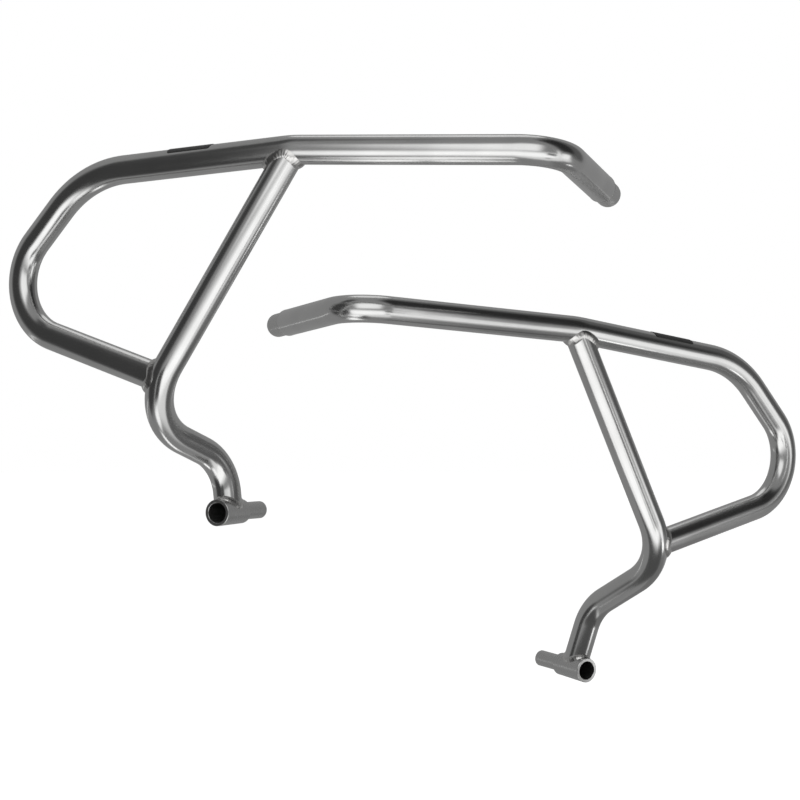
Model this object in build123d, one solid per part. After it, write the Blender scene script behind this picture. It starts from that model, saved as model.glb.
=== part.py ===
"""Motorcycle crash bars: a left and a right bar of bent and welded round tube.

Each bar is drawn in its own frame, in millimetres. The origin is the centre of the seat face of
its mount sleeve, Y runs inboard along the bolt, X runs rearward and Z up. Stations are measured
along X, outsets outboard of the seat face along -Y and heights above the bolt axis.
"""
import os
from math import cos, radians, sin, tan

from build123d import *

# Tube stock
TUBE_OD = 28.0
TUBE_WALL = 2.0

# Top rail: where the brace hangs from it, with a slight bend there
RAIL_STATION = 115.4
RAIL_OUTSET = 141.4
RAIL_HEIGHT = 345.4
RAIL_BEND = 100.0

# Rear tip: corner of the bend and the cut end, which lies inboard of the seat face
TIP_STATION = 373.0
TIP_OUTSET = 111.2
TIP_HEIGHT = 334.0
TIP_BEND = 42.0
TIP_END_STATION = 355.5
TIP_END_INSET = 55.5
TIP_END_HEIGHT = 313.9

# Front loop: upper and lower corner, both ahead of the sleeve
LOOP_OUTSET = 141.5
FRONT_BEND = 109.0
NOSE_BEND = 58.7
LEFT_FRONT_STATION = -116.0
LEFT_FRONT_HEIGHT = 334.9
LEFT_NOSE_STATION = -237.8
LEFT_NOSE_HEIGHT = 203.1
RIGHT_FRONT_STATION = -109.0
RIGHT_FRONT_HEIGHT = 356.8
RIGHT_NOSE_STATION = -250.9
RIGHT_NOSE_HEIGHT = 234.4

# Brace: leans forward and a little outboard on its way down, and takes the end of the loop
BRACE_LEAN = 31.65
BRACE_FLARE = 4.57
LOOP_RUN = 252.5
KNEE_BEND = 66.0
ANKLE_BEND = 44.0
FOOT_OUTSET = 61.6
FOOT_RISE = 3.0

# Feet: the right sleeve sits lower under its rail than the left one
LEFT_DROP = 0.0
LEFT_KNEE_RUN = 296.4
LEFT_ANKLE_STATION = -7.4
LEFT_ANKLE_OUTSET = 58.5
LEFT_ANKLE_HEIGHT = 50.2
RIGHT_DROP = 18.8
RIGHT_KNEE_RUN = 272.8
RIGHT_ANKLE_STATION = -10.2
RIGHT_ANKLE_OUTSET = 67.0
RIGHT_ANKLE_HEIGHT = 67.1

# Mount sleeve: tapered bush, cone and slim spacer, bored for an M12 socket head bolt
SLEEVE_LENGTH = 85.0
MOUTH_OD = 26.6
MOUTH_BEVEL = 0.4
BUSH_LENGTH = 46.0
BUSH_END_OD = 24.6
CONE_LENGTH = 5.0
SPACER_OD = 17.6
SPACER_BEVEL = 0.6
HEAD_BORE = 20.0
HEAD_BEVEL = 1.0
HEAD_DEPTH = 36.0
BOLT_BORE = 13.0

# End plug: turned plug with an M10 thread, welded into the tip
PLUG_OD = 23.0
PLUG_REACH = 15.0
PLUG_BEVEL = 2.0
PLUG_SHANK = 28.0
PLUG_SLIP = 0.05
THREAD_CORE = 8.5
THREAD_DEPTH = 30.0

# Welds: gap left for fitting up, how far each bead climbs on either piece, and how far its
# ends stay back from the axis of the tube that it runs round
FIT_UP_GAP = 0.3
BEAD_ON_CARRIER = 2.6
BEAD_ON_BRANCH = 3.4
BEAD_SETBACK = 2.0
PLUG_BEAD_HEIGHT = 1.8
PLUG_BEAD_LAND = 0.4

# Display: the bars stand apart, outer faces forward, with the left seat face at the origin
LEFT_TURN = -25.7
RIGHT_TURN = 32.4
RIGHT_TILT = 7.2
RIGHT_POSITION = (304.0, 222.9, -177.4)

TUBE_RADIUS = TUBE_OD / 2
BORE_RADIUS = TUBE_RADIUS - TUBE_WALL


def bent_path(corners, bends):
    """Straight runs through the corners, joined by tangent arcs of the given bend radii."""
    edges = []
    start = corners[0]
    for before, corner, after, radius in zip(corners, corners[1:], corners[2:], bends):
        back = (before - corner).normalized()
        ahead = (after - corner).normalized()
        half = radians(back.get_angle(ahead)) / 2
        middle = (back + ahead).normalized()
        leave = corner + back * (radius / tan(half))
        meet = corner + ahead * (radius / tan(half))
        crown = corner + middle * (radius / sin(half) - radius)
        edges.append(Line(start, leave))
        edges.append(ThreePointArc(leave, crown, meet))
        start = meet
    edges.append(Line(start, corners[-1]))
    return Wire(edges)


def rod(path, radius):
    """Solid round bar along a path."""
    return sweep(Plane(origin=path @ 0, z_dir=path % 0) * Circle(radius), path=path)


def tube(path, outer_r, inner_r):
    """Hollow round bar along a path."""
    section = Circle(outer_r) - Circle(inner_r)
    return sweep(Plane(origin=path @ 0, z_dir=path % 0) * section, path=path)


def biggest_solid(shape):
    """The main solid of a cut shape."""
    return max(shape.solids(), key=lambda solid: solid.volume)


def tube_bead(carrier_path, branch_path):
    """Weld bead in the corner round the end of a branch tube on its carrier."""
    on_carrier = tube(carrier_path, TUBE_RADIUS + BEAD_ON_CARRIER, TUBE_RADIUS)
    on_branch = tube(branch_path, TUBE_RADIUS + BEAD_ON_BRANCH, TUBE_RADIUS)
    return biggest_solid(on_carrier & on_branch)


def turned(profile):
    """Solid of revolution about Y from (radius, y) points."""
    face = make_face(Polyline(*profile, close=True))
    return revolve(face, axis=Axis.Y)


def sleeve_outside(grow):
    """Outer form of the mount sleeve, grown by an allowance on its radius."""
    mouth_y = -SLEEVE_LENGTH
    bush_y = mouth_y + BUSH_LENGTH
    spacer_y = bush_y + CONE_LENGTH
    mouth_r = MOUTH_OD / 2 + grow
    bush_r = BUSH_END_OD / 2 + grow
    spacer_r = SPACER_OD / 2 + grow
    return turned([
        (0, mouth_y),
        (mouth_r - MOUTH_BEVEL, mouth_y),
        (mouth_r, mouth_y + MOUTH_BEVEL),
        (bush_r, bush_y),
        (spacer_r, spacer_y),
        (spacer_r, -SPACER_BEVEL),
        (spacer_r - SPACER_BEVEL, 0),
        (0, 0),
    ])


def sleeve_bores():
    """Recess for the bolt head and the clearance hole behind it."""
    mouth_y = -SLEEVE_LENGTH
    floor_y = mouth_y + HEAD_DEPTH
    head_r = HEAD_BORE / 2
    bolt_r = BOLT_BORE / 2
    return turned([
        (0, mouth_y),
        (head_r + HEAD_BEVEL, mouth_y),
        (head_r, mouth_y + HEAD_BEVEL),
        (head_r, floor_y),
        (bolt_r, floor_y),
        (bolt_r, 0),
        (0, 0),
    ])


def end_plug(seat):
    """Plug in the tube's tip: shank in the bore, slimmer nose with a threaded hole."""
    shank_r = BORE_RADIUS - PLUG_SLIP
    nose_r = min(PLUG_OD / 2, shank_r)
    shank = Pos(0, 0, -PLUG_SHANK / 2) * Cylinder(shank_r, PLUG_SHANK)
    nose = Pos(0, 0, PLUG_REACH / 2) * Cylinder(nose_r, PLUG_REACH)
    nose = chamfer(nose.edges().sort_by(Axis.Z)[-1], PLUG_BEVEL)
    hole = Pos(0, 0, PLUG_REACH - THREAD_DEPTH / 2) * Cylinder(THREAD_CORE / 2, THREAD_DEPTH)
    return seat * (shank + nose - hole)


def plug_bead(seat):
    """Bead round the plug on the cut end of the tube."""
    nose_r = min(PLUG_OD / 2, BORE_RADIUS - PLUG_SLIP)
    land_r = TUBE_RADIUS - PLUG_BEAD_LAND
    ring = Cone(land_r, nose_r + PLUG_BEAD_LAND, PLUG_BEAD_HEIGHT)
    hole = Cylinder(nose_r, PLUG_BEAD_HEIGHT)
    return seat * Pos(0, 0, PLUG_BEAD_HEIGHT / 2) * (ring - hole)


def bar(drop, front, nose, knee_run, ankle):
    """All pieces of one bar, drawn as a left bar."""
    # Main tube: tip, top rail and front loop down to the brace
    tip_end = Vector(TIP_END_STATION, TIP_END_INSET, TIP_END_HEIGHT + drop)
    tip = Vector(TIP_STATION, -TIP_OUTSET, TIP_HEIGHT + drop)
    rail = Vector(RAIL_STATION, -RAIL_OUTSET, RAIL_HEIGHT + drop)
    rail_run = bent_path([tip_end, tip, rail, front], [TIP_BEND, RAIL_BEND])
    brace_top = rail_run.edges()[3] @ 0.5

    # Brace: from the rail's axis down to the sleeve
    lean = radians(BRACE_LEAN)
    flare = radians(BRACE_FLARE)
    fall = Vector(-sin(lean) * cos(flare), -sin(flare), -cos(lean) * cos(flare))
    knee = brace_top + fall * knee_run
    bolt = Vector(0, -FOOT_OUTSET, 0)
    foot = bolt + (ankle - bolt).normalized() * FOOT_RISE
    brace_bends = [KNEE_BEND, ANKLE_BEND]
    brace_path = bent_path([brace_top, knee, ankle, foot], brace_bends)
    loop_end = brace_path @ (LOOP_RUN / brace_path.length)
    main_corners = [tip_end, tip, rail, front, nose]
    main_bends = [TIP_BEND, RAIL_BEND, FRONT_BEND, NOSE_BEND]
    main_path = bent_path(main_corners + [loop_end], main_bends)

    # Tubes, coped where they meet
    sleeve_solid = sleeve_outside(0)
    main_tube = tube(main_path, TUBE_RADIUS, BORE_RADIUS)
    main_tube = biggest_solid(main_tube - rod(brace_path, TUBE_RADIUS + FIT_UP_GAP))
    brace_tube = tube(brace_path, TUBE_RADIUS, BORE_RADIUS)
    brace_tube = brace_tube - rod(main_path, TUBE_RADIUS + FIT_UP_GAP)
    brace_tube = biggest_solid(brace_tube - sleeve_outside(FIT_UP_GAP))

    # Beads in the three tube joints, each between the runs of tube that meet there
    loop_stop = loop_end + (nose - loop_end).normalized() * BEAD_SETBACK
    loop_run = bent_path(main_corners + [loop_stop], main_bends).edges()[-1]
    brace_beaded = bent_path([brace_top + fall * BEAD_SETBACK, knee, ankle, bolt], brace_bends)
    brace_run = brace_beaded.edges()[0]
    foot_bead = sleeve_outside(BEAD_ON_CARRIER) & rod(brace_beaded, TUBE_RADIUS + BEAD_ON_BRANCH)
    foot_bead = foot_bead - sleeve_solid - rod(brace_path, TUBE_RADIUS)

    # The tip's cut end carries the plug
    seat = Plane(origin=tip_end, z_dir=tip_end - tip).location
    return {
        "main_tube": main_tube,
        "brace_tube": brace_tube,
        "mount_sleeve": sleeve_solid - sleeve_bores(),
        "end_plug": end_plug(seat),
        "brace_weld": tube_bead(Wire(rail_run.edges()[2:]), Wire([brace_run])),
        "loop_weld": tube_bead(brace_beaded, Wire([loop_run])),
        "sleeve_weld": biggest_solid(foot_bead),
        "plug_weld": plug_bead(seat),
    }


left_bar = bar(
    LEFT_DROP,
    Vector(LEFT_FRONT_STATION, -LOOP_OUTSET, LEFT_FRONT_HEIGHT),
    Vector(LEFT_NOSE_STATION, -LOOP_OUTSET, LEFT_NOSE_HEIGHT),
    LEFT_KNEE_RUN,
    Vector(LEFT_ANKLE_STATION, -LEFT_ANKLE_OUTSET, LEFT_ANKLE_HEIGHT),
)
right_bar = bar(
    RIGHT_DROP,
    Vector(RIGHT_FRONT_STATION, -LOOP_OUTSET, RIGHT_FRONT_HEIGHT),
    Vector(RIGHT_NOSE_STATION, -LOOP_OUTSET, RIGHT_NOSE_HEIGHT),
    RIGHT_KNEE_RUN,
    Vector(RIGHT_ANKLE_STATION, -RIGHT_ANKLE_OUTSET, RIGHT_ANKLE_HEIGHT),
)

left_place = Rot(0, 0, LEFT_TURN)
right_place = Pos(*RIGHT_POSITION) * Rot(0, RIGHT_TILT, 0) * Rot(0, 0, RIGHT_TURN)

os.makedirs("parts", exist_ok=True)
for name, piece in left_bar.items():
    export_step(left_place * piece, f"parts/left_{name}.step")
for name, piece in right_bar.items():
    export_step(right_place * mirror(piece, about=Plane.YZ), f"parts/right_{name}.step")
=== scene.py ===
"""Motorcycle crash bars: smooth tubes, turned fittings, weld beads, satin steel and studio light.

Each bar is drawn in its own frame, in millimetres, and then set in the row, in metres. The origin is
the centre of the seat face of its mount sleeve, X runs rearward, Y inboard along the bolt and Z up.
"""
from math import atan2, cos, pi, radians, sin, tan

import bmesh
import bpy
from mathutils import Matrix, Vector
from mathutils.bvhtree import BVHTree


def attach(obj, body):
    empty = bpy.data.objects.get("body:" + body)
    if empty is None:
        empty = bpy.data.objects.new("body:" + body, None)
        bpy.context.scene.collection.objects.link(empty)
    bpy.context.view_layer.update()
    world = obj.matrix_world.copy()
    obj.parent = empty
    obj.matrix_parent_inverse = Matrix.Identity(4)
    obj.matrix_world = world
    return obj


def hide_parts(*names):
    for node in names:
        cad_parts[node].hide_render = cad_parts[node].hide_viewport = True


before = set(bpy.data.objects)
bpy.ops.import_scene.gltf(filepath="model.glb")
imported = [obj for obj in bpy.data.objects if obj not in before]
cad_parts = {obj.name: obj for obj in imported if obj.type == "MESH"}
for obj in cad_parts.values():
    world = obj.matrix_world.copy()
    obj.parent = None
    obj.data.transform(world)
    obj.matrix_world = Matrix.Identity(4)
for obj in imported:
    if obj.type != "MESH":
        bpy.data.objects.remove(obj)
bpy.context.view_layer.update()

MM = 0.001

# Tube stock and the facets round it
TUBE_R = 14.0 * MM
TUBE_WALL = 2.0 * MM
TUBE_SIDES = 72
BEND_STEP = radians(2.5)
RUN_STEP = 30.0 * MM
COPE_REACH = 45.0 * MM
SHARP_EDGE = radians(28)
MERGE_REACH = 1e-6

# Corners that both bars share, in a bar's own frame, and where the brace aims at the bolt axis
TIP_END = (355.5, 55.5, 313.9)
TIP = (373.0, -111.2, 334.0)
RAIL = (115.4, -141.4, 345.4)
BOLT = Vector((0, -61.6, 0))

# Bends and runs of the main tube and the brace
TIP_BEND = 42.0
RAIL_BEND = 100.0
FRONT_BEND = 109.0
NOSE_BEND = 58.7
KNEE_BEND = 66.0
ANKLE_BEND = 44.0
BRACE_LEAN = radians(31.65)
BRACE_FLARE = radians(4.57)
LOOP_RUN = 252.5
FOOT_RISE = 3.0

# How the bars stand beside each other in the row
LEFT_TURN = radians(-25.7)
RIGHT_TURN = radians(32.4)
RIGHT_TILT = radians(7.2)
RIGHT_POSITION = Vector((304.0, 222.9, -177.4))

# Mount sleeve, from the mouth to the seat face
SLEEVE_LENGTH = 85.0
MOUTH_R = 13.3
MOUTH_BEVEL = 0.4
BUSH_LENGTH = 46.0
BUSH_END_R = 12.3
CONE_LENGTH = 5.0
SPACER_R = 8.8
SPACER_BEVEL = 0.6
HEAD_R = 10.0
HEAD_BEVEL = 0.3
HEAD_DEPTH = 36.0
BOLT_R = 6.5
LATHE_STEPS = 96
BORE_MARGIN = 0.1 * MM
SEAT_MARGIN = 0.5 * MM

# End plug, from the end of the tip's run, with a rounded nose
PLUG_R = 12.5
PLUG_REACH = 17.0
PLUG_ROUND = 6.5
PLUG_SHANK = 28.0
PLUG_SHANK_R = 11.95
PLUG_SHOULDER = 0.5
PLUG_ROUND_STEPS = 8
THREAD_CORE_R = 4.25
THREAD_ROOT_R = 5.0
THREAD_PITCH = 1.5
THREAD_TURNS = 19
THREAD_LEAD = 0.5
THREAD_RUNOUT = 1.0

# Tube's cut end behind the end of the tip's run, so that the plug stands out as a nose
TIP_SETBACK = 17.0

# Weld beads: leg on each piece, crown, how far a square corner lowers it, ripples with their
# least share and what they add, and how far in the corner is rounded
BEAD_LEG = 4.6 * MM
SLEEVE_LEG = 3.6 * MM
BEAD_CROWN = 1.1 * MM
BEAD_ROOT = 0.15 * MM
PLUG_BEAD_SIZE = 1.1 * MM
BEAD_SIDES = 20
BEAD_SLUMP = 0.5
RIPPLE = 2.3 * MM
RIPPLE_STEPS = 6
RIPPLE_REACH = (0.985, 0.03)
RIPPLE_HEIGHT = (0.93, 0.14)
TUBE_ROUNDING = 0.93
SLEEVE_ROUNDING = 0.85

# Plain dark strip on the rail: thickness, corner, and its lower and upper edge round the tube
STRIP_THICK = 0.5 * MM
STRIP_CORNER = 2.0 * MM
STRIP_LOW = radians(41.0)
STRIP_HIGH = radians(103.0)
STRIP_CUTS = 16

# Places that the studio cards face: the middle of the set, and near ones for single bends
SET_MIDDLE = Vector((0.17, 0.0, 0.08))
RIGHT_FOOT = Vector((0.355, 0.155, -0.13))
LEFT_KNEE = Vector((-0.085, -0.147, 0.125))
LEFT_ANKLE = Vector((-0.05, -0.085, 0.06))

# Tent round the set: radius, light level, and its opening high at the back
TENT_RADIUS = 12.0
TENT_LEVEL = 0.32
TENT_OPENING = radians(15)
TENT_OPENS_TO = Vector((0, 1, 2))

# Across a card's UV map: its middle, and from there the rim and the start of the fade
CARD_MIDDLE = 0.5
CARD_RIM = 0.5
CARD_FADE = 0.25

# Floor, and how bright it and the surroundings are
FLOOR_SIZE = 20.0
FLOOR_HEIGHT = -0.45
FLOOR_LEVEL = 0.68
WORLD_LIGHT = 0.45
WORLD_SEEN = 1.0

# Camera, about level with the bars and two metres in front
CAMERA_LENS = 91.05
CAMERA_SENSOR = 36.0
CAMERA_PLACE = (0.14394, -2.07556, 0.08713)
CAMERA_PITCH = radians(90.697)


def left_place(x, y, z):
    """A point of the left bar's own frame, in millimetres, set in the row."""
    return Matrix.Rotation(LEFT_TURN, 4, "Z") @ Vector((x, y, z)) * MM


def right_place(x, y, z):
    """A point of the right bar, drawn as a left one and mirrored, set in the row."""
    tilt = Matrix.Rotation(RIGHT_TILT, 4, "Y") @ Matrix.Rotation(RIGHT_TURN, 4, "Z")
    return (RIGHT_POSITION + tilt @ Vector((-x, y, z))) * MM


def bent_route(corners, bends):
    """Straight runs and tangent bends through the corners of a tube."""
    steps = []
    at = corners[0]
    for before, corner, after, bend in zip(corners, corners[1:], corners[2:], bends):
        back = (before - corner).normalized()
        ahead = (after - corner).normalized()
        half = back.angle(ahead) / 2
        leave = corner + back * (bend * MM / tan(half))
        centre = corner + (back + ahead).normalized() * (bend * MM / sin(half))
        steps.append({"run": leave - at})
        axis = ahead.cross(back).normalized()
        steps.append({"centre": centre, "axis": axis, "turn": pi - 2 * half})
        at = corner + ahead * (bend * MM / tan(half))
    steps.append({"run": corners[-1] - at})
    return steps


def facing(origin, heading):
    """Matrix that puts Z along a heading at a point."""
    return Matrix.Translation(origin) @ heading.to_track_quat("Z", "Y").to_matrix().to_4x4()


def ring_edges(ring):
    """Edges that join the vertices of one ring."""
    members = set(ring)
    return [edge for edge in {e for vert in ring for e in vert.link_edges}
            if edge.verts[0] in members and edge.verts[1] in members]


def bent_tube(start, steps):
    """Tube skin along a route: the bmesh with its first and last ring."""
    bm = bmesh.new()
    drawn = bm.verts.layers.float_vector.new("drawn")
    heading = steps[0]["run"].normalized()
    seat = facing(start, heading)
    first = bmesh.ops.create_circle(bm, radius=TUBE_R, segments=TUBE_SIDES, matrix=seat)["verts"]
    unseat = seat.inverted()
    for vert in first:
        vert[drawn] = unseat @ vert.co
    ring = first
    for step in steps:
        if "run" in step:
            count = max(2, round(step["run"].length / RUN_STEP))
            for _ in range(count):
                made = bmesh.ops.extrude_edge_only(bm, edges=ring_edges(ring))["geom"]
                ring = [part for part in made if isinstance(part, bmesh.types.BMVert)]
                bmesh.ops.translate(bm, verts=ring, vec=step["run"] / count)
                for vert in ring:
                    vert[drawn] = vert[drawn] + Vector((0, 0, step["run"].length / count))
            continue
        count = max(2, round(step["turn"] / BEND_STEP))
        middle = sum((vert.co for vert in ring), Vector()) / len(ring)
        arc = (middle - step["centre"]).length * step["turn"] / count
        for _ in range(count):
            made = bmesh.ops.spin(bm, geom=ring + ring_edges(ring), cent=step["centre"],
                                  axis=step["axis"], angle=step["turn"] / count, steps=1)["geom_last"]
            ring = [part for part in made if isinstance(part, bmesh.types.BMVert)]
            for vert in ring:
                vert[drawn] = vert[drawn] + Vector((0, 0, arc))
    return bm, first, ring


def landing(carrier, middle, heading, root, rounding):
    """Where a tube's wall lands on the piece that it meets, with the corner rounded, and its normal."""
    inner = middle + (root - middle) * rounding
    hit, normal = carrier.ray_cast(inner - heading * COPE_REACH, heading, COPE_REACH)[:2]
    if hit is None:
        return root, (root - middle).normalized()
    facing_back = normal if normal.dot(heading) < 0 else -normal
    return root + heading * (hit - inner).dot(heading), facing_back


def cope(ring, middle, heading, carrier, rounding):
    """Slides a tube's end along the tube onto the surface of the piece that it meets."""
    for vert in ring:
        vert.co = landing(carrier, middle, heading, vert.co, rounding)[0]


def turned(profile, seat, bore):
    """Lathe-turned solid from (radius, along) points in millimetres, with painted shade inside its
    bore.

    The profile is closed, or starts and ends on the axis.
    """
    bm = bmesh.new()
    drawn = bm.verts.layers.float_vector.new("drawn")
    points = [bm.verts.new(seat @ Vector((radius * MM, 0, along * MM)))
              for radius, along in profile]
    edges = [bm.edges.new(pair) for pair in zip(points, points[1:])]
    if profile[0][0] > 0:
        edges.append(bm.edges.new((points[-1], points[0])))
    axis = seat.to_3x3() @ Vector((0, 0, 1))
    bmesh.ops.spin(bm, geom=points + edges, cent=seat.translation, axis=axis, angle=2 * pi,
                   steps=LATHE_STEPS, use_merge=True)
    bmesh.ops.remove_doubles(bm, verts=bm.verts, dist=MERGE_REACH)
    bmesh.ops.recalc_face_normals(bm, faces=bm.faces)
    unseat = seat.inverted()
    for vert in bm.verts:
        vert[drawn] = unseat @ vert.co
    for face in bm.faces:
        centre = face.calc_center_median()
        local = unseat @ centre
        outward = face.normal.dot(centre - seat @ Vector((0, 0, local.z))) > MERGE_REACH
        # Faces inside the bore take the second material, a painted shade
        inside = local.xy.length < bore * MM + BORE_MARGIN and local.z < -SEAT_MARGIN
        face.material_index = 1 if inside and not outward else 0
    return bm


def bead_ring(end, heading, radius, size):
    """Round bead about a heading, and how many steps go round it."""
    bm = bmesh.new()
    upright = Matrix.Translation((radius, 0, 0)) @ Matrix.Rotation(pi / 2, 4, "X")
    start = bmesh.ops.create_circle(bm, radius=size, segments=BEAD_SIDES,
                                    matrix=facing(end, heading) @ upright)["verts"]
    steps = round(2 * pi * radius / RIPPLE) * RIPPLE_STEPS
    bmesh.ops.spin(bm, geom=start + ring_edges(start), cent=end, axis=heading, angle=2 * pi,
                   steps=steps, use_merge=True)
    bmesh.ops.remove_doubles(bm, verts=bm.verts, dist=MERGE_REACH)
    bmesh.ops.recalc_face_normals(bm, faces=bm.faces)
    return bm, steps


def weld_bead(end, heading, leg, carrier, rounding):
    """Rippled fillet round the end of a tube, from the tube's wall onto the piece that it meets."""
    bm, steps = bead_ring(end, heading, TUBE_R, leg)
    seat = facing(end, heading)
    unseat = seat.inverted()
    seam = []
    for step in range(steps):
        turn = 2 * pi * step / steps
        outward = seat.to_3x3() @ Vector((cos(turn), sin(turn), 0))
        root = end + outward * TUBE_R
        seam.append((outward, *landing(carrier, end, heading, root, rounding)))
    for vert in bm.verts:
        local = unseat @ vert.co
        step = round(atan2(local.y, local.x) / (2 * pi) * steps) % steps
        outward, laid, normal = seam[step]
        path = seam[(step + 1) % steps][1] - seam[step - 1][1]
        ripple = 1 - (step % RIPPLE_STEPS) / RIPPLE_STEPS
        reach = leg * (RIPPLE_REACH[0] + RIPPLE_REACH[1] * ripple)

        # Toe on the piece met and toe on the tube, each square to the seam
        over = normal.cross(path).normalized() * reach
        over = over if over.dot(outward + heading) > 0 else -over
        back = outward.cross(path).normalized() * reach
        back = back if back.dot(heading) < 0 else -back
        far_toe = carrier.find_nearest(laid + over)[0]
        tube_toe = laid + back - end
        along = heading * tube_toe.dot(heading)
        tube_toe = end + along + (tube_toe - along).normalized() * TUBE_R

        # Upper half of the section becomes the crown, lower half the root
        crown = (outward + normal).normalized()
        angle = atan2(local.z, local.xy.length - TUBE_R)
        share = 1 + angle / pi if angle <= 0 else 1 - angle / pi
        swell = 4 * share * (1 - share)
        rise = -BEAD_CROWN
        if angle <= 0:
            square = abs(normal.dot(heading))
            height = RIPPLE_HEIGHT[0] + RIPPLE_HEIGHT[1] * ripple
            rise = BEAD_CROWN * (1 - BEAD_SLUMP * square) * height
        vert.co = tube_toe.lerp(far_toe, share) + crown * (rise * swell - BEAD_ROOT)
    bmesh.ops.recalc_face_normals(bm, faces=bm.faces)
    if bm.calc_volume(signed=True) < 0:
        bmesh.ops.reverse_faces(bm, faces=bm.faces)
    return bm


def plain_strip(start, end, out, up):
    """Thin strip laid round the upper side of a straight tube, between two points of its axis."""
    bm = bmesh.new()
    bmesh.ops.create_grid(bm, x_segments=1, y_segments=1, size=0.5)
    length = (end - start).length
    girth = TUBE_R * (STRIP_HIGH - STRIP_LOW)
    bmesh.ops.scale(bm, vec=(length, girth, 1), verts=bm.verts)
    bmesh.ops.bevel(bm, geom=bm.verts, offset=STRIP_CORNER, segments=5, profile=0.5,
                    affect="VERTICES", material=-1)
    for cut in range(1, STRIP_CUTS):
        bmesh.ops.bisect_plane(bm, geom=bm.verts[:] + bm.edges[:] + bm.faces[:],
                               plane_co=(0, girth * (cut / STRIP_CUTS - 0.5), 0), plane_no=(0, 1, 0))
    along = (end - start).normalized()
    side = (out - along * out.dot(along)).normalized()
    rise = (up - along * up.dot(along) - side * up.dot(side)).normalized()
    for vert in bm.verts:
        bend = STRIP_LOW + (vert.co.y / girth + 0.5) * (STRIP_HIGH - STRIP_LOW)
        round_tube = (side * cos(bend) + rise * sin(bend)) * TUBE_R
        vert.co = start + along * (vert.co.x + length / 2) + round_tube
    bmesh.ops.recalc_face_normals(bm, faces=bm.faces)
    middle = (start + end) / 2
    if any(face.normal.dot(face.calc_center_median() - middle) < 0 for face in bm.faces):
        bmesh.ops.reverse_faces(bm, faces=bm.faces)
    return bm


def piece(name, bm, materials, node):
    """Puts a finished mesh in the scene, in the place of a CAD node if it has one."""
    for face in bm.faces:
        face.smooth = True
    for edge in bm.edges:
        edge.smooth = edge.is_manifold and edge.calc_face_angle() < SHARP_EDGE
    mesh = bpy.data.meshes.new(name)
    bm.to_mesh(mesh)
    bm.free()
    for material in materials:
        mesh.materials.append(material)
    made = bpy.data.objects.new(name, mesh)
    bpy.context.scene.collection.objects.link(made)
    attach(made, "root")
    if node:
        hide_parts(node)
    return made


def node_material(name, metallic=0.0):
    """New material with its nodes, links and shader."""
    material = bpy.data.materials.new(name)
    material.use_nodes = True
    nodes = material.node_tree.nodes
    shader = nodes["Principled BSDF"]
    shader.inputs["Metallic"].default_value = metallic
    return material, nodes, material.node_tree.links, shader


def noise(nodes, links, place, scale, detail):
    """Noise pattern over the places of a surface."""
    pattern = nodes.new("ShaderNodeTexNoise")
    pattern.inputs["Scale"].default_value = scale
    pattern.inputs["Detail"].default_value = detail
    links.new(place, pattern.inputs["Vector"])
    return pattern.outputs["Fac"]


def tint(nodes, links, shader, pattern, low, high, dark, light):
    """Colour between two tones, by a pattern."""
    tone = nodes.new("ShaderNodeValToRGB")
    for stop, position, colour in zip(tone.color_ramp.elements, (low, high), (dark, light)):
        stop.position = position
        stop.color = (*colour, 1)
    links.new(pattern, tone.inputs["Fac"])
    links.new(tone.outputs["Color"], shader.inputs["Base Color"])


def polish(nodes, links, shader, pattern, low, high):
    """Roughness between two values, by a pattern."""
    spread = nodes.new("ShaderNodeMapRange")
    spread.inputs["To Min"].default_value = low
    spread.inputs["To Max"].default_value = high
    links.new(pattern, spread.inputs["Value"])
    links.new(spread.outputs["Result"], shader.inputs["Roughness"])


def relief(nodes, links, shader, pattern, strength, depth):
    """Fine bumps, by a pattern."""
    bump = nodes.new("ShaderNodeBump")
    bump.inputs["Strength"].default_value = strength
    bump.inputs["Distance"].default_value = depth
    links.new(pattern, bump.inputs["Height"])
    links.new(bump.outputs["Normal"], shader.inputs["Normal"])


def drawn_place(nodes):
    """Place on a tube or turned piece: across it in X and Y, along it in Z."""
    drawn = nodes.new("ShaderNodeAttribute")
    drawn.attribute_name = "drawn"
    return drawn.outputs["Vector"]


def object_place(nodes):
    """Place in the object's own frame."""
    return nodes.new("ShaderNodeTexCoord").outputs["Object"]


def satin_steel():
    """Satin stainless tube: long grain from drawing, faint clouding and a soft polish."""
    material, nodes, links, shader = node_material("satin_steel", metallic=1.0)
    stretch = nodes.new("ShaderNodeMapping")
    stretch.inputs["Scale"].default_value = (1.0, 1.0, 0.03)
    links.new(drawn_place(nodes), stretch.inputs["Vector"])
    grain = noise(nodes, links, stretch.outputs["Vector"], scale=1400.0, detail=3.0)
    cloud = noise(nodes, links, object_place(nodes), scale=22.0, detail=4.0)
    tint(nodes, links, shader, cloud, low=0.3, high=0.7,
         dark=(0.56, 0.56, 0.555), light=(0.63, 0.63, 0.625))
    polish(nodes, links, shader, grain, low=0.15, high=0.22)
    relief(nodes, links, shader, grain, strength=0.06, depth=0.1 * MM)
    return material


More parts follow.
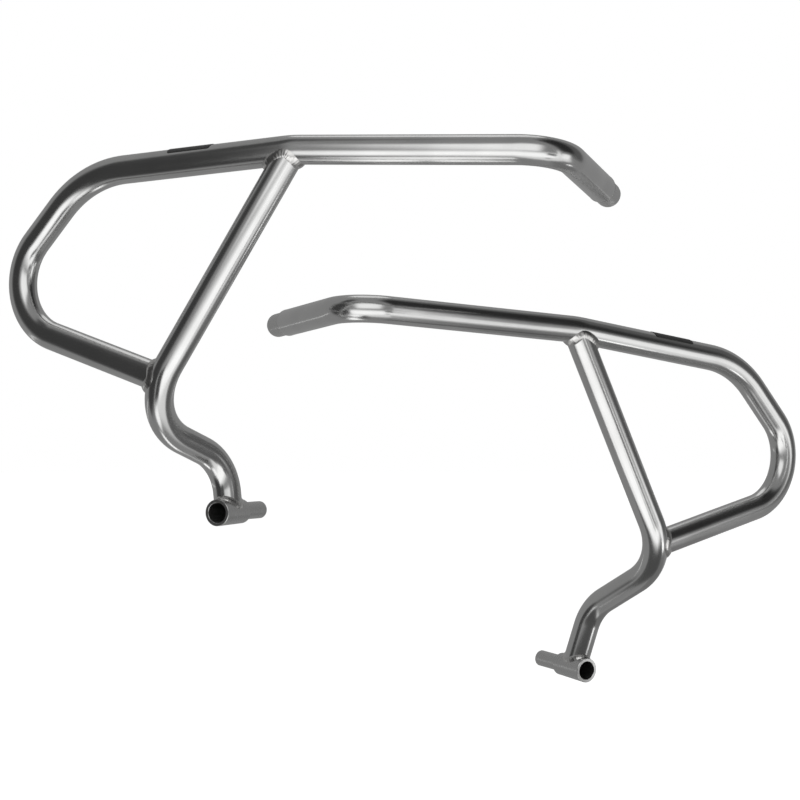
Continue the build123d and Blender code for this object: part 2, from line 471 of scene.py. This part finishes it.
def turned_steel():
    """Turned stainless: fine tool rings about the axis, a little duller than the tube."""
    material, nodes, links, shader = node_material("turned_steel", metallic=1.0)
    split = nodes.new("ShaderNodeSeparateXYZ")
    links.new(drawn_place(nodes), split.inputs["Vector"])
    flat = nodes.new("ShaderNodeCombineXYZ")
    links.new(split.outputs["X"], flat.inputs["X"])
    links.new(split.outputs["Y"], flat.inputs["Y"])
    radius = nodes.new("ShaderNodeVectorMath")
    radius.operation = "LENGTH"
    links.new(flat.outputs["Vector"], radius.inputs[0])
    rings_at = nodes.new("ShaderNodeCombineXYZ")
    links.new(radius.outputs["Value"], rings_at.inputs["X"])
    links.new(split.outputs["Z"], rings_at.inputs["Y"])
    rings = noise(nodes, links, rings_at.outputs["Vector"], scale=2600.0, detail=2.0)
    tint(nodes, links, shader, rings, low=0.0, high=1.0,
         dark=(0.5, 0.5, 0.495), light=(0.6, 0.6, 0.595))
    polish(nodes, links, shader, rings, low=0.2, high=0.34)
    relief(nodes, links, shader, rings, strength=0.12, depth=0.1 * MM)
    return material


def weld_steel():
    """Bare weld metal: brushed over, with uneven polish and a faint heat tone."""
    material, nodes, links, shader = node_material("weld_steel", metallic=1.0)
    patches = noise(nodes, links, object_place(nodes), scale=260.0, detail=5.0)
    tint(nodes, links, shader, patches, low=0.3, high=0.65,
         dark=(0.5, 0.495, 0.485), light=(0.64, 0.635, 0.625))
    polish(nodes, links, shader, patches, low=0.14, high=0.3)
    relief(nodes, links, shader, patches, strength=0.15, depth=0.2 * MM)
    return material


def bore_painted_shade():
    """Inside of the sleeve: rough as drilled, and dark as painted shade deep in the bore."""
    material, nodes, links, shader = node_material("bore_painted_shade", metallic=1.0)
    shade_mottle = noise(nodes, links, object_place(nodes), scale=480.0, detail=4.0)
    # Painted shade: the dark tone stands in for the shade deep in the bore, mottled at random
    tint(nodes, links, shader, shade_mottle, low=0.3, high=0.7,
         dark=(0.17, 0.17, 0.168), light=(0.3, 0.3, 0.296))
    polish(nodes, links, shader, shade_mottle, low=0.42, high=0.62)
    relief(nodes, links, shader, shade_mottle, strength=0.2, depth=0.1 * MM)
    return material


def black_vinyl():
    """Black vinyl strip: a slight orange peel, dust-dulled in patches."""
    material, nodes, links, shader = node_material("black_vinyl")
    place = object_place(nodes)
    dust = noise(nodes, links, place, scale=140.0, detail=4.0)
    tint(nodes, links, shader, dust, low=0.35, high=0.75,
         dark=(0.008, 0.008, 0.0085), light=(0.022, 0.022, 0.022))
    polish(nodes, links, shader, dust, low=0.38, high=0.58)
    peel = noise(nodes, links, place, scale=900.0, detail=2.0)
    relief(nodes, links, shader, peel, strength=0.1, depth=0.1 * MM)
    return material


def sleeve_profile():
    """Closed section of the mount sleeve: outside, bolt hole and head recess."""
    mouth = -SLEEVE_LENGTH
    bush = mouth + BUSH_LENGTH
    spacer = bush + CONE_LENGTH
    floor = mouth + HEAD_DEPTH
    return [
        (HEAD_R + HEAD_BEVEL, mouth),
        (MOUTH_R - MOUTH_BEVEL, mouth),
        (MOUTH_R, mouth + MOUTH_BEVEL),
        (BUSH_END_R, bush),
        (SPACER_R, spacer),
        (SPACER_R, -SPACER_BEVEL),
        (SPACER_R - SPACER_BEVEL, 0),
        (BOLT_R, 0),
        (BOLT_R, floor),
        (HEAD_R, floor),
        (HEAD_R, mouth + HEAD_BEVEL),
    ]


def plug_profile():
    """Half section of the end plug, from axis to axis: shank, nose and threaded hole."""
    section = [
        (0, -PLUG_SHANK),
        (PLUG_SHANK_R, -PLUG_SHANK),
        (PLUG_SHANK_R, -TIP_SETBACK - PLUG_SHOULDER),
        (PLUG_R, -TIP_SETBACK),
    ]
    for part in range(PLUG_ROUND_STEPS + 1):
        bend = pi / 2 * part / PLUG_ROUND_STEPS
        section.append((PLUG_R - PLUG_ROUND * (1 - cos(bend)),
                        PLUG_REACH - PLUG_ROUND * (1 - sin(bend))))
    section.append((THREAD_ROOT_R + THREAD_LEAD, PLUG_REACH))
    for groove in range(THREAD_TURNS):
        along = PLUG_REACH - THREAD_LEAD - groove * THREAD_PITCH
        section.append((THREAD_ROOT_R, along))
        section.append((THREAD_CORE_R, along - THREAD_PITCH / 2))
    section.append((0, PLUG_REACH - THREAD_LEAD - THREAD_RUNOUT - THREAD_TURNS * THREAD_PITCH))
    return section


def loop_meeting(top, knee, ankle):
    """Point of the brace's axis where the loop ends, a set run below the rail."""
    back = (top - knee).normalized()
    ahead = (ankle - knee).normalized()
    half = back.angle(ahead) / 2
    straight = (top - knee).length - KNEE_BEND / tan(half)
    if LOOP_RUN <= straight:
        return top - back * LOOP_RUN
    centre = knee + (back + ahead).normalized() * (KNEE_BEND / sin(half))
    leave = knee + back * (KNEE_BEND / tan(half))
    turn = Matrix.Rotation((LOOP_RUN - straight) / KNEE_BEND, 3, ahead.cross(back).normalized())
    return centre + turn @ (leave - centre)


def crash_bar(side, at, drop, front, nose, knee_run, ankle, strip):
    """All pieces of one bar, from its corners in its own frame, which `at` sets in the row.

    The foot hangs lower under the rail by a drop, the brace reaches its knee after a run, and the
    strip starts and ends at two runs ahead of the rail's bend.
    """
    tip_end, tip, rail = (Vector((x, y, z + drop)) for x, y, z in (TIP_END, TIP, RAIL))
    front, nose, ankle = Vector(front), Vector(nose), Vector(ankle)

    # The brace hangs from the middle of the rail's slight bend
    back = (tip - rail).normalized()
    ahead = (front - rail).normalized()
    half = back.angle(ahead) / 2
    brace_top = rail + (back + ahead).normalized() * (RAIL_BEND / sin(half) - RAIL_BEND)
    fall = Vector((-sin(BRACE_LEAN) * cos(BRACE_FLARE), -sin(BRACE_FLARE),
                   -cos(BRACE_LEAN) * cos(BRACE_FLARE)))
    knee = brace_top + fall * knee_run
    foot = BOLT + (ankle - BOLT).normalized() * FOOT_RISE
    loop_end = loop_meeting(brace_top, knee, ankle)

    # Turned fittings
    seat_face = at(0, 0, 0)
    inboard = (at(0, 1, 0) - seat_face).normalized()
    sleeve = turned(sleeve_profile(), facing(seat_face, inboard), HEAD_R)
    sleeve_tree = BVHTree.FromBMesh(sleeve)
    tip_cut = at(*tip_end)
    tip_heading = (tip_cut - at(*tip)).normalized()
    plug = turned(plug_profile(), facing(tip_cut, tip_heading), 0.0)

    # Tubes, each coped to the one that carries it
    main_corners = [at(*corner) for corner in (tip_end, tip, rail, front, nose, loop_end)]
    main_corners[0] = tip_cut - tip_heading * TIP_SETBACK * MM
    main_steps = bent_route(main_corners, [TIP_BEND, RAIL_BEND, FRONT_BEND, NOSE_BEND])
    brace_corners = [at(*corner) for corner in (brace_top, knee, ankle, foot)]
    brace_steps = bent_route(brace_corners, [KNEE_BEND, ANKLE_BEND])
    main, _, main_end = bent_tube(main_corners[0], main_steps)
    brace, brace_start, brace_end = bent_tube(brace_corners[0], brace_steps)
    main_tree = BVHTree.FromBMesh(main)
    brace_tree = BVHTree.FromBMesh(brace)
    up_brace = -brace_steps[0]["run"].normalized()
    down_brace = brace_steps[-1]["run"].normalized()
    loop_heading = main_steps[-1]["run"].normalized()
    cope(brace_start, brace_corners[0], up_brace, main_tree, TUBE_ROUNDING)
    cope(brace_end, brace_corners[-1], down_brace, sleeve_tree, SLEEVE_ROUNDING)
    cope(main_end, main_corners[-1], loop_heading, brace_tree, TUBE_ROUNDING)

    # Beads in the corners
    plug_bead_r = PLUG_R * MM + PLUG_BEAD_SIZE / 2
    beads = {
        "brace_weld": weld_bead(brace_corners[0], up_brace, BEAD_LEG, main_tree, TUBE_ROUNDING),
        "loop_weld": weld_bead(main_corners[-1], loop_heading, BEAD_LEG, brace_tree, TUBE_ROUNDING),
        "sleeve_weld": weld_bead(brace_corners[-1], down_brace, SLEEVE_LEG, sleeve_tree,
                                 SLEEVE_ROUNDING),
        "plug_weld": bead_ring(main_corners[0], tip_heading, plug_bead_r, PLUG_BEAD_SIZE)[0],
    }
    for name, skin in (("main_tube", main), ("brace_tube", brace)):
        bmesh.ops.recalc_face_normals(skin, faces=skin.faces)
        made = piece(f"{side}_{name}_drawn", skin, [STEEL], f"{side}_{name}")
        wall = made.modifiers.new("wall", "SOLIDIFY")
        wall.thickness = TUBE_WALL
        wall.offset = -1.0
        wall.use_rim = True
    # Turned pieces: turned steel, with painted shade inside the sleeve's bore
    for name, solid in (("mount_sleeve", sleeve), ("end_plug", plug)):
        piece(f"{side}_{name}_turned", solid, [TURNED, BORE_SHADE], f"{side}_{name}")
    for name, bead in beads.items():
        piece(f"{side}_{name}_bead", bead, [WELD], f"{side}_{name}")

    # Plain strip over the rail, a little ahead of the brace
    ends = [at(*(rail + ahead * run)) for run in strip]
    skin = plain_strip(*ends, at(0, -1, 0) - seat_face, at(0, 0, 1) - seat_face)
    made = piece(f"{side}_rail_strip", skin, [VINYL], None)
    wall = made.modifiers.new("thickness", "SOLIDIFY")
    wall.thickness = STRIP_THICK
    wall.offset = 1.0


def stage_mesh(name, bm, material):
    """Puts a stage mesh in the scene."""
    mesh = bpy.data.meshes.new(name)
    bm.to_mesh(mesh)
    bm.free()
    mesh.materials.append(material)
    made = bpy.data.objects.new(name, mesh)
    bpy.context.scene.collection.objects.link(made)
    return made


def metal_only(made):
    """Lets a studio card show in the metal and nowhere else."""
    made.visible_camera = False
    made.visible_diffuse = False
    made.visible_shadow = False


def glow_material(name, level):
    """Even light from a card: the material with its nodes, links and emission."""
    material, nodes, links, shader = node_material(name)
    nodes.remove(shader)
    glow = nodes.new("ShaderNodeEmission")
    glow.inputs["Strength"].default_value = level
    links.new(glow.outputs["Emission"], nodes["Material Output"].inputs["Surface"])
    return material, nodes, links, glow


def soft_edge(nodes, links, across):
    """Fade from the middle of a card to its edge, along one side of its UV map."""
    offset = nodes.new("ShaderNodeMath")
    offset.operation = "SUBTRACT"
    offset.inputs[1].default_value = CARD_MIDDLE
    links.new(across, offset.inputs[0])
    reach = nodes.new("ShaderNodeMath")
    reach.operation = "ABSOLUTE"
    links.new(offset.outputs["Value"], reach.inputs[0])
    fade = nodes.new("ShaderNodeMapRange")
    fade.interpolation_type = "SMOOTHSTEP"
    fade.inputs["From Min"].default_value = CARD_RIM
    fade.inputs["From Max"].default_value = CARD_FADE
    links.new(reach.outputs["Value"], fade.inputs["Value"])
    return fade.outputs["Result"]


def studio_card(name, toward, distance, size, level, middle=SET_MIDDLE):
    """Soft-edged card that faces the middle of the set or another place.

    It stands toward a bearing and a rise in degrees: bearing 0 is in front, 90 to the right.
    """
    bearing, rise = (radians(angle) for angle in toward)
    out = Vector((sin(bearing) * cos(rise), -cos(bearing) * cos(rise), sin(rise)))
    bm = bmesh.new()
    bm.loops.layers.uv.new("card")
    bmesh.ops.create_grid(bm, x_segments=1, y_segments=1, size=0.5, calc_uvs=True)
    bmesh.ops.scale(bm, vec=(*size, 1), verts=bm.verts)
    bmesh.ops.transform(bm, matrix=facing(middle + out * distance, -out), verts=bm.verts)
    material, nodes, links, glow = glow_material(name, level)
    spread = nodes.new("ShaderNodeUVMap")
    spread.uv_map = "card"
    sides = nodes.new("ShaderNodeSeparateXYZ")
    links.new(spread.outputs["UV"], sides.inputs["Vector"])
    cover = nodes.new("ShaderNodeMath")
    cover.operation = "MULTIPLY"
    links.new(soft_edge(nodes, links, sides.outputs["X"]), cover.inputs[0])
    links.new(soft_edge(nodes, links, sides.outputs["Y"]), cover.inputs[1])
    clear = nodes.new("ShaderNodeBsdfTransparent")
    blend = nodes.new("ShaderNodeMixShader")
    links.new(cover.outputs["Value"], blend.inputs["Fac"])
    links.new(clear.outputs["BSDF"], blend.inputs[1])
    links.new(glow.outputs["Emission"], blend.inputs[2])
    links.new(blend.outputs["Shader"], nodes["Material Output"].inputs["Surface"])
    metal_only(stage_mesh(name, bm, material))


def studio_tent():
    """Grey cloth far round the set, open high at the back to the white surroundings."""
    bm = bmesh.new()
    bmesh.ops.create_uvsphere(bm, u_segments=64, v_segments=48, radius=TENT_RADIUS,
                              matrix=Matrix.Translation(SET_MIDDLE))
    behind = [face for face in bm.faces
              if (face.calc_center_median() - SET_MIDDLE).angle(TENT_OPENS_TO) < TENT_OPENING]
    bmesh.ops.delete(bm, geom=behind, context="FACES")
    metal_only(stage_mesh("studio_tent", bm, glow_material("studio_tent", TENT_LEVEL)[0]))


def seen_rays(nodes, links):
    """1 for rays from the camera, off metal or through glass, 0 for light on the object."""
    rays = nodes.new("ShaderNodeLightPath")
    seen = rays.outputs["Is Camera Ray"]
    for kind in ("Is Glossy Ray", "Is Transmission Ray"):
        either = nodes.new("ShaderNodeMath")
        either.operation = "MAXIMUM"
        links.new(seen, either.inputs[0])
        links.new(rays.outputs[kind], either.inputs[1])
        seen = either.outputs["Value"]
    return seen


def pale_floor():
    """Pale floor below the bars, white to the camera, with their soft shadow."""
    bm = bmesh.new()
    bmesh.ops.create_grid(bm, x_segments=1, y_segments=1, size=FLOOR_SIZE)
    bmesh.ops.translate(bm, vec=(0, 0, FLOOR_HEIGHT), verts=bm.verts)
    material, nodes, links, shader = node_material("pale_floor")
    shader.inputs["Base Color"].default_value = (0.8, 0.8, 0.8, 1)
    shader.inputs["Roughness"].default_value = 0.9
    level = nodes.new("ShaderNodeMath")
    level.operation = "MULTIPLY"
    level.inputs[1].default_value = FLOOR_LEVEL
    links.new(seen_rays(nodes, links), level.inputs[0])
    shader.inputs["Emission Color"].default_value = (1, 1, 1, 1)
    links.new(level.outputs["Value"], shader.inputs["Emission Strength"])
    floor = stage_mesh("pale_floor", bm, material)
    floor.visible_glossy = False


def white_world():
    """White surroundings for the camera and in the metal, softer as light."""
    world = bpy.data.worlds.new("white_world")
    bpy.context.scene.world = world
    world.use_nodes = True
    nodes = world.node_tree.nodes
    links = world.node_tree.links
    level = nodes.new("ShaderNodeMapRange")
    level.inputs["To Min"].default_value = WORLD_LIGHT
    level.inputs["To Max"].default_value = WORLD_SEEN
    links.new(seen_rays(nodes, links), level.inputs["Value"])
    nodes["Background"].inputs["Color"].default_value = (1, 1, 1, 1)
    links.new(level.outputs["Result"], nodes["Background"].inputs["Strength"])


def soft_lamp(name, centre, aim, size, power):
    """Large soft lamp over the set."""
    lamp = bpy.data.lights.new(name, "AREA")
    lamp.size = size
    lamp.energy = power
    made = bpy.data.objects.new(name, lamp)
    made.location = centre
    made.rotation_euler = (Vector(aim) - Vector(centre)).to_track_quat("-Z", "Y").to_euler()
    made.visible_glossy = False
    bpy.context.scene.collection.objects.link(made)


def photo_camera():
    """Camera that sees the bars as in the photo."""
    lens = bpy.data.cameras.new("photo_view")
    lens.lens = CAMERA_LENS
    lens.sensor_fit = "HORIZONTAL"
    lens.sensor_width = CAMERA_SENSOR
    camera = bpy.data.objects.new("photo_view", lens)
    camera.location = CAMERA_PLACE
    camera.rotation_euler = (CAMERA_PITCH, 0, 0)
    bpy.context.scene.collection.objects.link(camera)
    bpy.context.scene.camera = camera


STEEL = satin_steel()
TURNED = turned_steel()
WELD = weld_steel()
# Painted shade for the inside of the sleeve's bore
BORE_SHADE = bore_painted_shade()
VINYL = black_vinyl()

crash_bar("left", left_place, drop=0.0, front=(-116.0, -141.5, 334.9), nose=(-237.8, -141.5, 203.1),
          knee_run=296.4, ankle=(-7.4, -58.5, 50.2), strip=(85.0, 132.0))
crash_bar("right", right_place, drop=18.8, front=(-109.0, -141.5, 356.8), nose=(-250.9, -141.5, 234.4),
          knee_run=272.8, ankle=(-10.2, -67.0, 67.1), strip=(100.0, 152.0))

# Light that only the metal shows, set to the photo's reflections
studio_tent()
studio_card("front_high_light", toward=(-5, 24), distance=1.01, size=(1.23, 0.91), level=1.35)
studio_card("front_low_light", toward=(0, -35), distance=4.71, size=(12.11, 3.59), level=1.6)
studio_card("front_gap", toward=(-6, -23), distance=5.5, size=(8.33, 1.14), level=0.85)
studio_card("foot_shade", toward=(39, -17), distance=2.8, size=(1.11, 0.83), level=0.1)
studio_card("right_front_light", toward=(49, -2), distance=1.38, size=(0.12, 1.28), level=1.5)
studio_card("right_low_light", toward=(70, -14), distance=4.21, size=(1.78, 2.78), level=1.4)
studio_card("mouth_light", toward=(69, -18), distance=0.5, size=(0.16, 0.14), level=2.3,
            middle=RIGHT_FOOT)
studio_card("left_low_light", toward=(-48, -50), distance=0.83, size=(0.35, 0.42), level=1.5)
studio_card("left_under_light", toward=(-116, -67), distance=1.39, size=(0.88, 0.36), level=1.7)
studio_card("floor_light", toward=(16, -41), distance=5.96, size=(28.88, 9.02), level=1.06)
studio_card("left_shade", toward=(-67, 1), distance=0.8, size=(0.71, 1.51), level=0.06)
studio_card("left_high_shade", toward=(-67, 39), distance=1.68, size=(0.65, 2.4), level=0.07)
studio_card("right_shade", toward=(73, 42), distance=2.3, size=(1.8, 3.5), level=0.03)
studio_card("right_wall", toward=(100, 30), distance=4.4, size=(4.3, 9.9), level=0.13)
studio_card("right_under_shade", toward=(104, -46), distance=0.8, size=(1.45, 0.61), level=0.22)
studio_card("brace_light", toward=(10, -40), distance=1.7, size=(0.41, 0.42), level=1.5)
studio_card("right_foot_shade", toward=(35, -31), distance=0.93, size=(0.18, 0.23), level=0.5)
studio_card("near_foot_shade", toward=(8, -30), distance=0.13, size=(0.45, 0.2), level=0.1,
            middle=RIGHT_FOOT)
studio_card("left_knee_shade", toward=(-27, -30), distance=0.14, size=(0.09, 0.19), level=0.07,
            middle=LEFT_KNEE)
studio_card("left_ankle_shade", toward=(80, -28), distance=0.14, size=(0.13, 0.16), level=0.14,
            middle=LEFT_ANKLE)
studio_card("right_back_edge", toward=(150, -15), distance=1.77, size=(0.7, 0.06), level=1.3)
studio_card("left_back_edge", toward=(-113, -15), distance=1.6, size=(1.3, 0.06), level=1.3)

pale_floor()
white_world()
soft_lamp("overhead", centre=(0.3, -0.6, 2.4), aim=(0.2, 0.0, 0.0), size=1.6, power=28.0)
photo_camera()
bpy.context.scene.view_settings.view_transform = "Standard"
